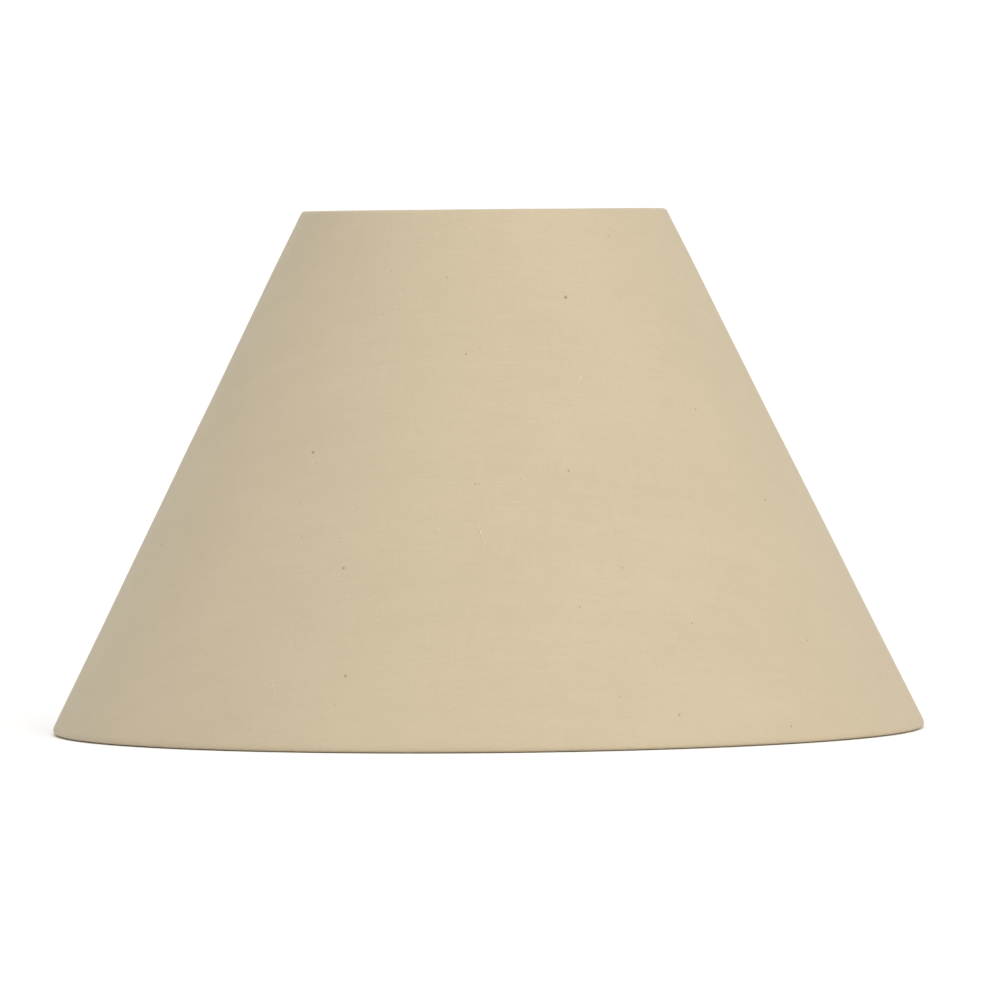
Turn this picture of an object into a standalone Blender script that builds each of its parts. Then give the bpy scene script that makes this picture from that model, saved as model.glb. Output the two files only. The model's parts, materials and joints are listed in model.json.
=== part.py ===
"""Lamp shade: a lined fabric cone on two wire rings, with a swinging lampholder ring.

Everything is in metres with +Z up. The cone's axis is Z and the shade stands on its lower rim
at z = 0. The lap seam is at +Y and the fitter's pivots lie along X.
"""

import math

import bmesh
import bpy
from mathutils import Vector

# ---- overall sizes of the shade ----
BASE_RADIUS = 0.1525  # outside of the lower rolled rim
TOP_RADIUS = 0.0648  # outside of the upper rolled rim
HEIGHT = 0.1826

# ---- stock thicknesses and the clearances that every fit uses ----
FABRIC_T = 0.0004
LINER_T = 0.0004
WIRE_RADIUS = 0.0014
GAP = 0.0003  # between a sheet and whatever lies against it
WELD_GAP = 0.0001  # between two steel pieces that are welded
TURN_GAP = 0.0001  # radial play of a pin in its hole

# ---- lap seam ----
LAP_WIDTH = 0.012
TAPE_WIDTH = 0.009
TAPE_T = 0.0002
TAPE_GAP = 0.0002
LAP_RISE = 0.006  # length over which the upper end climbs onto the lower one
LAP_EDGE = 0.0005  # how far before the lower end the climb is finished
HEM_CLEAR = 0.007  # length beside each rim where only one layer is left
TAPE_END_MARGIN = 0.001  # the tape ends this far inside the two layers

# ---- fitter ----
LUG_T = 0.0015
LUG_HALF_WIDTH = 0.0035
LUG_ABOVE_WIRE = 0.0009  # top of the lug above the wire's centre
NOTCH_HALF_WIDTH = 0.0045  # opening in the hem where the lug passes
PIVOT_DROP = 0.0055  # pivot axis below the top wire's centre
PIN_HEAD_RADIUS = 0.0024
PIN_HEAD_T = 0.001
PIN_END_PLAY = 0.0002
GIMBAL_DROP = 0.035  # top face of the holder ring below the pivot axis
ARM_STRAIGHT = 0.004  # straight length of the arm inside the lug
ARM_BEND_RADIUS = 0.005
HOLDER_HOLE_RADIUS = 0.021
HOLDER_BAND = 0.0042  # width of the steel round the hole
HOLDER_T = 0.0015
REDUCER_HOLE_RADIUS = 0.0145
REDUCER_LEDGE = 0.0025  # how far the reducer's flange covers the holder ring
REDUCER_FLANGE_T = 0.0014
REDUCER_PLUG_LENGTH = 0.0035
REDUCER_WALL = 0.0016
REDUCER_WEB_T = 0.0014
SEAT_GAP = 0.0001  # under the reducer's flange
PLUG_GAP = 0.0002  # round the reducer's plug
EDGE_BREAK = 0.0003  # chamfer on the fitter's rings

# ---- mesh density ----
STEP_DEG = 6
CONE_ROWS = 6
ROLL_STEPS = 6
TUCK_STEPS = 3
WIRE_SIDES = 10
HOLE_SIDES = 24
HOLDER_SIDES = 48
SEAM_DEG = 90

# ---- sizes that follow from the ones above ----
LAP_LIFT = FABRIC_T + TAPE_T + 2 * TAPE_GAP
LINER_DEPTH = FABRIC_T / 2 + GAP + LINER_T / 2  # liner's middle below the fabric's middle
WIRE_DEPTH = LINER_DEPTH + LINER_T / 2 + GAP + WIRE_RADIUS
TUCK_RADIUS = WIRE_RADIUS + GAP + FABRIC_T / 2
ROLL_RADIUS = (WIRE_DEPTH + TUCK_RADIUS) / 2
RIM_RADIUS = ROLL_RADIUS + FABRIC_T / 2
HOLDER_RADIUS = HOLDER_HOLE_RADIUS + HOLDER_BAND
REDUCER_FLANGE_RADIUS = HOLDER_HOLE_RADIUS + REDUCER_LEDGE


class Rim:
    """The rolled edge at one end of the cone, in the half plane (radius, height)."""

    def __init__(self, centre, beyond, outward):
        self.centre = centre
        self.beyond = beyond  # along the cone's side, past this end
        self.outward = outward
        self.wire = centre - outward * (WIRE_DEPTH - ROLL_RADIUS)

    def direction(self, degrees):
        turn = math.radians(degrees)
        return self.outward * math.cos(turn) + self.beyond * math.sin(turn)


def cone_frame():
    """Both rims and the outward normal of the cone's side."""
    low = Vector((BASE_RADIUS - RIM_RADIUS, RIM_RADIUS))
    high = Vector((TOP_RADIUS - RIM_RADIUS, HEIGHT - RIM_RADIUS))
    down = (low - high).normalized()
    outward = Vector((-down.y, down.x))
    return Rim(high, -down, outward), Rim(low, down, outward)


TOP_RIM, BASE_RIM = cone_frame()
OUTWARD = TOP_RIM.outward
PIVOT_Z = TOP_RIM.wire.y - PIVOT_DROP


def side_point(share, depth):
    """A point on the cone's side, from the top rim (0) to the base rim (1), below the fabric's middle."""
    on_axis_line = TOP_RIM.centre.lerp(BASE_RIM.centre, share)
    return on_axis_line + OUTWARD * (ROLL_RADIUS - depth)


def hem_path(rim):
    """The fabric's middle line from the cone's side, over the rim and round the wire."""
    # The tucked edge stops one gap short of the liner's inner face.
    stop = math.degrees(math.acos(WIRE_RADIUS / (TUCK_RADIUS + FABRIC_T / 2)))
    path = []
    for step in range(1, ROLL_STEPS + 1):
        normal = rim.direction(180 * step / ROLL_STEPS)
        path.append((rim.centre + normal * ROLL_RADIUS, normal, 0.0))
    for step in range(1, TUCK_STEPS + 1):
        normal = rim.direction(180 + (180 - stop) * step / TUCK_STEPS)
        path.append((rim.wire + normal * TUCK_RADIUS, normal, 0.0))
    return path


def cover_path():
    """(point, normal, lap share) from the tucked edge at the top to the one at the base."""
    slant = (BASE_RIM.centre - TOP_RIM.centre).length
    clear = HEM_CLEAR / slant
    shares = [clear + (1 - 2 * clear) * row / CONE_ROWS for row in range(CONE_ROWS + 1)]
    side = [(side_point(0, 0), OUTWARD, 0.0)]
    side += [(side_point(share, 0), OUTWARD, 1.0) for share in shares]
    side.append((side_point(1, 0), OUTWARD, 0.0))
    return hem_path(TOP_RIM)[::-1] + side + hem_path(BASE_RIM)


def ease(share):
    return share * share * (3 - 2 * share)


class Station:
    """One line across the strip: its angle is base + shift / radius, so laps keep their width."""

    def __init__(self, degrees, shift=0.0, lift=0.0):
        self.base = math.radians(degrees)
        self.shift = shift
        self.lift = lift

    def angle(self, radius):
        return self.base + self.shift / radius


def round_stations():
    """Stations from one step past the seam to where the strip starts to follow the lap."""
    reach = LAP_WIDTH + LAP_EDGE + LAP_RISE
    narrowest = TOP_RIM.wire.x - TUCK_RADIUS
    last = SEAM_DEG + 360 - math.degrees(reach / narrowest)
    stations = []
    degrees = SEAM_DEG + STEP_DEG
    while degrees < last - 0.5:
        if degrees % 180 == 0:
            stations.append(Station(degrees, -NOTCH_HALF_WIDTH))
            stations.append(Station(degrees, NOTCH_HALF_WIDTH))
        else:
            stations.append(Station(degrees))
        degrees += STEP_DEG
    # From a plain angle to a line at a fixed distance from the seam, in even shares.
    start = degrees - STEP_DEG
    for step in range(1, 5):
        share = step / 4
        base = start + (SEAM_DEG + 360 - start) * share
        stations.append(Station(base, -reach * share))
    return stations


def lap_stations(degrees, first, last, count, lift=0.0):
    """Stations from one distance from the seam line to another, at one lift."""
    return [Station(degrees, first + (last - first) * n / count, lift) for n in range(count + 1)]


def cover_stations():
    """The lower end's stations in the lap, then those of the whole strip."""
    lower = lap_stations(SEAM_DEG, -LAP_WIDTH, 0.0, 4)
    climb = []
    for step in (1, 2, 3):
        shift = -(LAP_WIDTH + LAP_EDGE + LAP_RISE * (1 - step / 3))
        climb.append(Station(SEAM_DEG + 360, shift, ease(step / 3)))
    upper = lap_stations(SEAM_DEG + 360, -(LAP_WIDTH + LAP_EDGE), -GAP, 4, 1.0)[1:]
    return lower, lower + round_stations() + climb + upper


def place(point, angle):
    return (point.x * math.cos(angle), point.x * math.sin(angle), point.y)


# ---- mesh builders ----


def finish(name, verts, faces, material, origin=(0.0, 0.0, 0.0)):
    """Make one object from points in world space, with its origin where asked."""
    mesh = bpy.data.meshes.new(name)
    moved = [tuple(c - o for c, o in zip(v, origin)) for v in verts]
    mesh.from_pydata(moved, [], faces)
    work = bmesh.new()
    work.from_mesh(mesh)
    bmesh.ops.recalc_face_normals(work, faces=work.faces)
    work.to_mesh(mesh)
    work.free()
    mesh.shade_smooth()
    mesh.set_sharp_from_angle(angle=math.radians(40))
    mesh.materials.append(material)
    thing = bpy.data.objects.new(name, mesh)
    thing.location = origin
    bpy.context.scene.collection.objects.link(thing)
    return thing


def sheet(name, path, stations, thickness, material, lift=0.0, leave_out=None):
    """A sheet of even thickness over a grid of stations and path points, less the cells left out."""
    count = len(path)
    verts = []
    for station in stations:
        for face in (0.5, -0.5):
            for point, normal, lap_share in path:
                rise = lift * station.lift * lap_share
                offset = point + normal * (rise + face * thickness)
                verts.append(place(offset, station.angle(point.x)))

    def index(k, i, face):
        return (2 * k + face) * count + i

    def kept(k, i):
        inside = 0 <= k < len(stations) - 1 and 0 <= i < count - 1
        return inside and not (leave_out and leave_out(k, i))

    faces = []
    for k in range(len(stations) - 1):
        for i in range(count - 1):
            if not kept(k, i):
                continue
            loop = [(k, i), (k, i + 1), (k + 1, i + 1), (k + 1, i)]
            faces.append([index(a, b, 0) for a, b in loop])
            faces.append([index(a, b, 1) for a, b in reversed(loop)])
            beside = [(k - 1, i), (k, i + 1), (k + 1, i), (k, i - 1)]
            for side, neighbour in enumerate(beside):
                if not kept(*neighbour):
                    a, b = loop[side], loop[(side + 1) % 4]
                    faces.append([index(*b, 0), index(*a, 0), index(*a, 1), index(*b, 1)])
    used = sorted({v for face in faces for v in face})
    renumber = {old: new for new, old in enumerate(used)}
    faces = [[renumber[v] for v in face] for face in faces]
    return finish(name, [verts[v] for v in used], faces, material)


def lathe(name, profile, angles, material, origin=(0.0, 0.0, 0.0)):
    """Revolve a closed (radius, height) outline through the given angles."""
    count = len(profile)
    verts = [place(Vector(point), angle) for angle in angles for point in profile]
    faces = []
    for k in range(len(angles)):
        ahead = (k + 1) % len(angles)
        for i in range(count):
            j = (i + 1) % count
            faces.append([k * count + i, k * count + j, ahead * count + j, ahead * count + i])
    return finish(name, verts, faces, material, origin)


def even_angles(count):
    return [2 * math.pi * n / count for n in range(count)]


def ring_angles(radius, stations):
    """The angles of every cover station at this radius, so a ring's facets match the hem's."""
    full = 2 * math.pi
    angles = sorted(station.angle(radius) % full for station in stations)
    spaced = [angles[0]]
    for angle in angles[1:]:
        if angle - spaced[-1] > math.radians(0.4):
            spaced.append(angle)
    return spaced


def wire_ring(name, rim, stations, material):
    outline = []
    for turn in even_angles(WIRE_SIDES):
        outline.append(rim.wire + Vector((math.cos(turn), math.sin(turn))) * WIRE_RADIUS)
    return lathe(name, outline, ring_angles(rim.wire.x, stations), material)


def lug_face_x():
    """The lug's outer face, flat against the inside of the curved top wire."""
    inside = TOP_RIM.wire.x - WIRE_RADIUS
    return inside * math.cos(NOTCH_HALF_WIDTH / TOP_RIM.wire.x) - WELD_GAP


def pivot_lug(name, side, material):
    """A tab with the pin's hole, round below the hole and square above it."""
    top = TOP_RIM.wire.y + LUG_ABOVE_WIRE - PIVOT_Z
    hole_radius = WIRE_RADIUS + TURN_GAP
    outer, inner = [], []
    for turn in even_angles(HOLE_SIDES):
        across, up = math.cos(turn), math.sin(turn)
        reach = LUG_HALF_WIDTH
        if up > 1e-6:
            reach = min(LUG_HALF_WIDTH / max(abs(across), 1e-6), top / up)
        outer.append((across * reach, up * reach))
        inner.append((across * hole_radius, up * hole_radius))
    face_x = lug_face_x()
    verts = []
    for x in (face_x, face_x - LUG_T):
        for outline in (outer, inner):
            verts += [(side * x, y, PIVOT_Z + z) for y, z in outline]
    faces = []
    n = HOLE_SIDES
    for a in range(n):
        b = (a + 1) % n
        faces.append([a, b, n + b, n + a])
        faces.append([2 * n + a, 3 * n + a, 3 * n + b, 2 * n + b])
        faces.append([a, 2 * n + a, 2 * n + b, b])
        faces.append([n + a, n + b, 3 * n + b, 3 * n + a])
    return finish(name, verts, faces, material)


def bent_line(corners, bend_radius, steps):
    """(point, direction) along a line in the XZ plane with its corners rounded."""
    line = [(corners[0], (corners[1] - corners[0]).normalized())]
    for before, corner, after in zip(corners, corners[1:], corners[2:]):
        arriving = (corner - before).normalized()
        leaving = (after - corner).normalized()
        turn = arriving.angle_signed(leaving)
        trim = bend_radius * math.tan(abs(turn) / 2)
        centre_side = Vector((arriving.y, -arriving.x)) * math.copysign(1, turn)
        start = corner - arriving * trim
        centre = start + centre_side * bend_radius
        for step in range(steps + 1):
            angle = turn * step / steps
            direction = Vector(
                (
                    arriving.x * math.cos(angle) + arriving.y * math.sin(angle),
                    arriving.y * math.cos(angle) - arriving.x * math.sin(angle),
                )
            )
            spoke = Vector((-direction.y, direction.x)) * math.copysign(1, turn)
            line.append((centre + spoke * bend_radius, direction))
    line.append((corners[-1], (corners[-1] - corners[-2]).normalized()))
    return line


def gimbal_arm(name, side, material):
    """A wire from its peened head, through the lug, down and in to the underside of the ring."""
    head_inner = lug_face_x() + PIN_END_PLAY
    head_outer = head_inner + PIN_HEAD_T
    turn_x = lug_face_x() - LUG_T - ARM_STRAIGHT
    low_z = PIVOT_Z - GIMBAL_DROP - HOLDER_T - WELD_GAP - WIRE_RADIUS
    end_x = (HOLDER_HOLE_RADIUS + HOLDER_RADIUS) / 2 - WIRE_RADIUS / 2
    knee_x = HOLDER_RADIUS + ARM_BEND_RADIUS
    corners = [
        Vector((head_inner, PIVOT_Z)),
        Vector((turn_x, PIVOT_Z)),
        Vector((knee_x, low_z)),
        Vector((end_x, low_z)),
    ]
    inward = Vector((-1.0, 0.0))
    sections = [
        (Vector((head_outer, PIVOT_Z)), inward, PIN_HEAD_RADIUS),
        (Vector((head_inner, PIVOT_Z)), inward, PIN_HEAD_RADIUS),
    ]
    sections += [(p, d, WIRE_RADIUS) for p, d in bent_line(corners, ARM_BEND_RADIUS, 5)]
    verts = []
    for point, direction, radius in sections:
        across = Vector((-direction.y, direction.x))
        for turn in even_angles(WIRE_SIDES):
            shift = across * (radius * math.sin(turn))
            verts.append((side * (point.x + shift.x), radius * math.cos(turn), point.y + shift.y))
    n = WIRE_SIDES
    faces = []
    for k in range(len(sections) - 1):
        for a in range(n):
            b = (a + 1) % n
            faces.append([k * n + a, k * n + b, (k + 1) * n + b, (k + 1) * n + a])
    faces.append(list(range(n)))
    faces.append(list(range(len(verts) - n, len(verts))))
    return finish(name, verts, faces, material, (0.0, 0.0, PIVOT_Z))


def holder_ring(material):
    top = PIVOT_Z - GIMBAL_DROP
    low = top - HOLDER_T
    soft = EDGE_BREAK
    inner, outer = HOLDER_HOLE_RADIUS, HOLDER_RADIUS
    outline = [
        (inner + soft, low),
        (outer - soft, low),
        (outer, low + soft),
        (outer, top - soft),
        (outer - soft, top),
        (inner + soft, top),
        (inner, top - soft),
        (inner, low + soft),
    ]
    angles = even_angles(HOLDER_SIDES)
    return lathe("holder_ring", outline, angles, material, (0.0, 0.0, PIVOT_Z))


def reducer_ring(material):
    """A flange that sits on the holder ring, a plug in its hole and a web round the smaller hole."""
    seat = PIVOT_Z - GIMBAL_DROP + SEAT_GAP
    flange_top = seat + REDUCER_FLANGE_T
    plug = HOLDER_HOLE_RADIUS - PLUG_GAP
    low = seat - REDUCER_PLUG_LENGTH
    web_top = low + REDUCER_WEB_T
    soft = EDGE_BREAK
    outline = [
        (REDUCER_HOLE_RADIUS, low),
        (plug - soft, low),
        (plug, low + soft),
        (plug, seat),
        (REDUCER_FLANGE_RADIUS - soft, seat),
        (REDUCER_FLANGE_RADIUS, seat + soft),
        (REDUCER_FLANGE_RADIUS, flange_top - soft),
        (REDUCER_FLANGE_RADIUS - soft, flange_top),
        (plug - REDUCER_WALL, flange_top),
        (plug - REDUCER_WALL, web_top),
        (REDUCER_HOLE_RADIUS, web_top),
    ]
    angles = even_angles(HOLDER_SIDES)
    return lathe("reducer_ring", outline, angles, material, (0.0, 0.0, seat))


def material(name, color, roughness, metallic=0.0, sheen=0.0):
    made = bpy.data.materials.new(name)
    made.use_nodes = True
    made.diffuse_color = (*color, 1.0)
    shader = made.node_tree.nodes["Principled BSDF"]
    shader.inputs["Base Color"].default_value = (*color, 1.0)
    shader.inputs["Roughness"].default_value = roughness
    shader.inputs["Metallic"].default_value = metallic
    shader.inputs["Sheen Weight"].default_value = sheen
    return made


def build_cover(lower, stations):
    path = cover_path()
    lap_cells = len(lower) - 1
    first_side = next(i for i, entry in enumerate(path) if entry[2] > 0.5)
    last_side = max(i for i, entry in enumerate(path) if entry[2] > 0.5)
    # The inside quarter of the upper roll and its tuck, where a lug needs the bare wire.
    notch_cells = TUCK_STEPS + ROLL_STEPS // 3

    def leave_out(k, i):
        if k < lap_cells:
            return i < first_side or i >= last_side
        here, there = stations[k], stations[k + 1]
        at_lug = here.shift == -NOTCH_HALF_WIDTH and there.shift == NOTCH_HALF_WIDTH
        return at_lug and i < notch_cells

    paint = material("cover_fabric", (0.68, 0.57, 0.40), 0.9, sheen=0.25)
    sheet("cover_fabric", path, stations, FABRIC_T, paint, LAP_LIFT, leave_out)


def build_liner():
    """The stiff sheet, its two ends butted under the middle of the lap."""
    half = LAP_WIDTH / 2
    rows = CONE_ROWS + 2
    path = [(side_point(row / rows, LINER_DEPTH), OUTWARD, 0.0) for row in range(rows + 1)]
    around = lap_stations(SEAM_DEG, -half + GAP / 2, 0.0, 2)
    around += round_stations()
    around += lap_stations(SEAM_DEG + 360, -LAP_WIDTH, -half - GAP / 2, 2)
    paint = material("liner", (0.86, 0.86, 0.84), 0.45)
    sheet("liner", path, around, LINER_T, paint)


def build_tape():
    slant = (BASE_RIM.centre - TOP_RIM.centre).length
    margin = (HEM_CLEAR + TAPE_END_MARGIN) / slant
    height = FABRIC_T / 2 + TAPE_GAP + TAPE_T / 2
    shares = [margin + (1 - 2 * margin) * row / CONE_ROWS for row in range(CONE_ROWS + 1)]
    path = [(side_point(share, -height), OUTWARD, 0.0) for share in shares]
    near = -(LAP_WIDTH - TAPE_WIDTH) / 2
    around = lap_stations(SEAM_DEG, near - TAPE_WIDTH, near, 3)
    paint = material("seam_tape", (0.80, 0.78, 0.70), 0.6)
    sheet("seam_tape", path, around, TAPE_T, paint)


def main():
    for thing in list(bpy.data.objects):
        bpy.data.objects.remove(thing, do_unlink=True)
    lower, stations = cover_stations()
    build_cover(lower, stations)
    build_liner()
    build_tape()
    for name, rim in (("top_ring", TOP_RIM), ("bottom_ring", BASE_RIM)):
        wire_ring(name, rim, stations, material(name, (0.62, 0.62, 0.60), 0.35, 0.9))
    for name, side in (("left", -1), ("right", 1)):
        coat = material("pivot_lug_" + name, (0.80, 0.80, 0.78), 0.4)
        pivot_lug("pivot_lug_" + name, side, coat)
        coat = material("gimbal_arm_" + name, (0.80, 0.80, 0.78), 0.4)
        gimbal_arm("gimbal_arm_" + name, side, coat)
    holder_ring(material("holder_ring", (0.80, 0.80, 0.78), 0.4))
    reducer_ring(material("reducer_ring", (0.85, 0.85, 0.83), 0.3))


main()
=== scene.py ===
"""Lined cone lamp shade in oatmeal cotton, with its wire rings and swinging lampholder fitter.

Laid out as an add-on: sizes and colours are properties, each piece or group of like pieces has
an operator, and main() calls them in order. Run as a script, it builds the whole shade.
"""

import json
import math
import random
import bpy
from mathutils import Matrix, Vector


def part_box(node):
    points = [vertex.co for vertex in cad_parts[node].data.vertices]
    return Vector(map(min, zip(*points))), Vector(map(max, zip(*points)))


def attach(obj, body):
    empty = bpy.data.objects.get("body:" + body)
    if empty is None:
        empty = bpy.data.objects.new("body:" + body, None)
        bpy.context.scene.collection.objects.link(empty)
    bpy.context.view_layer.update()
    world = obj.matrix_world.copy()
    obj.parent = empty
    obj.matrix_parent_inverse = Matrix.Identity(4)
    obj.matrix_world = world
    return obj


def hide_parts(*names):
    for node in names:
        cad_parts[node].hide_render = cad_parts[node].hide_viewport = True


bl_info = {
    "name": "Lined cone lamp shade",
    "version": (1, 0, 0),
    "blender": (4, 5, 0),
    "location": "View3D > Sidebar > Shade",
    "description": "Builds a lined cotton cone shade with its fitter, in detail",
    "category": "Object",
}

import bmesh
import bpy
from mathutils import Matrix, Vector, noise

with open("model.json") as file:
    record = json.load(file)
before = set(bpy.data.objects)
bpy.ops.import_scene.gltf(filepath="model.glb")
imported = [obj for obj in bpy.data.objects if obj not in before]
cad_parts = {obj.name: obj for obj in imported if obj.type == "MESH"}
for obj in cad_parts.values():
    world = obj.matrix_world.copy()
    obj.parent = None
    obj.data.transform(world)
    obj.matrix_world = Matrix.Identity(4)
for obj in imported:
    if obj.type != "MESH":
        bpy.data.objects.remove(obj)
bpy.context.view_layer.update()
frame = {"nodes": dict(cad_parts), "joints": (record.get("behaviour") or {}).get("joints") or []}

FULL = 2 * math.pi
SEAM = math.pi / 2  # the lap seam faces +Y
FRONT = -math.pi / 2  # the middle of the cut panel faces -Y
SEAM_STEP = math.radians(1.5)  # from one line of cover or lining to the next
SHARP = math.radians(42)  # faces that meet more steeply than this keep a hard edge
FOLD_HEM = 0.3  # share of the hem that the pinched fold takes
ROLL_HEM = 0.3  # share that the roll round the wire takes
TUCK_HEM = 0.4  # share that the tucked edge takes
NOTCH_HEM = (FOLD_HEM + ROLL_HEM) * 2 / 3  # the hem is snipped beyond this at each lug
LAP_CLIMB = 0.006  # length in which the upper end climbs on to the lower one
LAP_MARGIN = 0.0005  # how far the climb stays clear of the lower end
FOLDED = 0.0016  # the last stretch of the upper end, which thickens into its folded edge
FOLDED_DROP = 0.00032  # how much thicker the folded-back layer makes it
FOLDED_RUN = 0.0009  # length in which it thickens
FOLDED_LINES = (0.0011, 0.0008, 0.0006, 0.0004, 0.00025, 0.00015, 0.00006)
BUTT_GAP = 0.00012  # between the lining's two ends
LINING_ROWS = 46
FIBRE_STEPS = 14
FIBRE_SIDES = 5
TURNED_SIDES = 144
ARM_SIDES = 28
HOLDER_HOLE = 0.021
HOLDER_LIP = 0.0012  # width of the step stamped round the hole
HOLDER_LIP_DEPTH = 0.0002
REDUCER_HOLE = 0.0145
REDUCER_PLUG = 0.0208
REDUCER_WALL = 0.0016
REDUCER_WEB = 0.0014
REDUCER_COLLAR = 0.0012  # width of the collar round the small hole
REDUCER_COLLAR_RISE = 0.0007
RIB_COUNT = 6
RIB_HALF = 0.00045
SEAT_GAP = 0.0001  # between the reducer's flange and the holder ring
PIN_PLAY = 0.0001  # radial, between the lug's hole and the arm's pin
LUG_SIDES = 96
LUG_SOFT = 0.00018  # rounding of the lug's pressed edges
LUG_SQUARE = 7.0  # how square its top corners are: 2 would be round
LUG_BEAD = (0.0007, 0.0010, 0.0012)
ARM_BEAD = (0.0013, 0.0007, 0.0006)
BEAD_SINK = 0.0002  # how far a lug's weld bead sits below and behind it
HEAD_THICKNESS = 0.001  # of the pin's peened head
HEAD_DOME = 0.0007
ARM_BEND = 0.005
ARM_STRAIGHT = 0.004  # from the lug to the arm's first bend
ARM_STEP = 0.0015  # longest piece of the swept wire
FLAT_RUN = 0.0022  # length in which the wire's end is pressed flat
FLAT_DROP = 0.00015
FLAT_SQUEEZE = 0.16
BACKDROP_FADE = (4, 13)  # degrees above the floor, from white backdrop to plain wall
LIGHT_AWAY = 3.0


# ---------------------------------------------------------------- properties


def metres(name, description, default, least=0.0, digits=5):
    """A length."""
    return bpy.props.FloatProperty(
        name=name,
        description=description,
        default=default,
        min=least,
        precision=digits,
        subtype="DISTANCE",
        unit="LENGTH",
    )


def tint(name, description, default):
    """A colour."""
    return bpy.props.FloatVectorProperty(
        name=name, description=description, default=default, subtype="COLOR"
    )


def tilt(name, description, default):
    """An angle."""
    return bpy.props.FloatProperty(
        name=name, description=description, default=default, subtype="ANGLE"
    )


def amount(name, description, default, least=0.0):
    """A plain number: a focal length, or how strong a light is."""
    return bpy.props.FloatProperty(name=name, description=description, default=default, min=least)


class ShadeSizes(bpy.types.PropertyGroup):
    """The stock thicknesses and the small dimensions of the sewing and rolling."""

    fabric: metres("Fabric thickness", "Thickness of the cotton", 0.0004, 0.0001)
    liner: metres("Liner thickness", "Thickness of the stiff plastic sheet", 0.0004, 0.0001)
    wire: metres("Wire diameter", "Diameter of the ring and arm wire", 0.0028, 0.001)
    gap: metres("Layer gap", "Glue space between two layers", 0.0003)
    lap: metres("Lap width", "Width of the lapped seam at the back", 0.012, 0.004, 4)
    lap_lift: metres(
        "Lap height", "How far the upper end of the fabric stands above the lower one", 0.001, 0.0004
    )
    hem_clear: metres(
        "Single layer at the rims",
        "Length beside each rim where the lower end is trimmed away",
        0.007,
        0.001,
        4,
    )
    notch: metres("Lug notch", "Half the width of the snip in the hem at each lug", 0.0045, 0.001, 4)
    pucker: metres("Hem pucker", "How deep the turned-in fabric gathers", 0.00022)
    wave: metres("Panel wave", "How far the lined panel strays from a true cone", 0.0003)
    thread: metres(
        "Thread pitch", "Distance from one thread of the weave to the next", 0.00046, 0.0001
    )


class ShadeColours(bpy.types.PropertyGroup):
    """The finishes' colours."""

    cotton_pale: tint("Cotton, pale thread", "Lightest colour of the weave", (0.542, 0.464, 0.329))
    cotton_deep: tint("Cotton, deep thread", "Darkest colour of the weave", (0.457, 0.390, 0.273))
    fleck: tint("Seed fleck", "Colour of the bits of husk spun into the cotton", (0.17, 0.11, 0.05))
    lining: tint("Lining", "White of the plastic sheet", (0.86, 0.86, 0.84))
    coating: tint("Powder coat", "White of the fitter's coating", (0.80, 0.80, 0.78))
    plastic: tint("Reducer plastic", "White of the moulded reducer", (0.85, 0.85, 0.83))
    steel: tint("Bare steel", "Colour of the drawn wire", (0.56, 0.56, 0.55))
    tape: tint("Tape", "Colour of the double-sided tissue tape", (0.80, 0.78, 0.70))
    ground: tint("Floor", "Colour of the pale studio floor", (0.955, 0.955, 0.955))


class StageSettings(bpy.types.PropertyGroup):
    """Camera and light."""

    lens: amount("Lens", "Focal length for a 36 mm sensor, in millimetres", 339.1, 20)
    distance: metres("Camera distance", "From the shade's axis to the camera", 3.31, 0.5, 2)
    eye_height: metres("Eye height", "Camera height above the floor", 0.1715, 0.0, 4)
    pitch: tilt("Pitch", "How far the camera looks down", 0.02745)
    yaw: tilt("Yaw", "How far the camera looks to the right of the axis", 0.00142)
    roll: tilt("Roll", "Tilt of the camera about its own line of sight", -0.009)
    key: amount("Key light", "Strength of the soft light from the right and front", 1.2)
    fill: amount("Fill light", "Strength of the soft light from just left of the front", 0.08)
    ceiling: amount(
        "Ceiling light",
        "Strength of the soft light from overhead, which keeps the floor white",
        2.4,
    )
    room: amount("Room light", "Strength of the even light from the walls", 0.29)
    wall: amount("Backdrop", "Brightness of the white backdrop, low down all round", 1.03)


# ---------------------------------------------------------------- the shade's shape


class RimShape:
    """A rolled rim in the half plane (radius, height): the wire and the fabric rolled round it."""

    def __init__(self, wire, beyond, outward, shoulder, shape):
        self.shoulder = shoulder  # how far the fold reaches into its corner, up to 1
        self.wire = wire
        self.beyond = beyond
        self.outward = outward
        self.centre = wire + outward * (shape.wire_depth - shape.roll)
        # The turn from the side's normal to the rim's highest or lowest line.
        self.crest = math.acos(outward.y * math.copysign(1.0, beyond.y))

    def direction(self, turn):
        return self.outward * math.cos(turn) + self.beyond * math.sin(turn)

    def fold(self, roll, share):
        """The pinched fold from the side (0) to the crest of the roll (1)."""
        start = self.centre + self.outward * roll
        top = self.direction(self.crest)
        end = self.centre + top * roll
        drop = (end - start).y / self.beyond.y
        corner = start + self.beyond * drop
        pull_in = start.lerp(corner, self.shoulder)
        pull_out = end.lerp(corner, self.shoulder)
        rest = 1 - share
        place = start * rest**3 + pull_in * (3 * rest * rest * share)
        place += pull_out * (3 * rest * share * share) + end * share**3
        way = (pull_in - start) * rest * rest
        way += (pull_out - pull_in) * (2 * rest * share) + (end - pull_out) * share * share
        way.normalize()
        normal = Vector((-way.y, way.x))
        return place, normal if normal.dot(top + self.outward) > 0 else -normal


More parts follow.
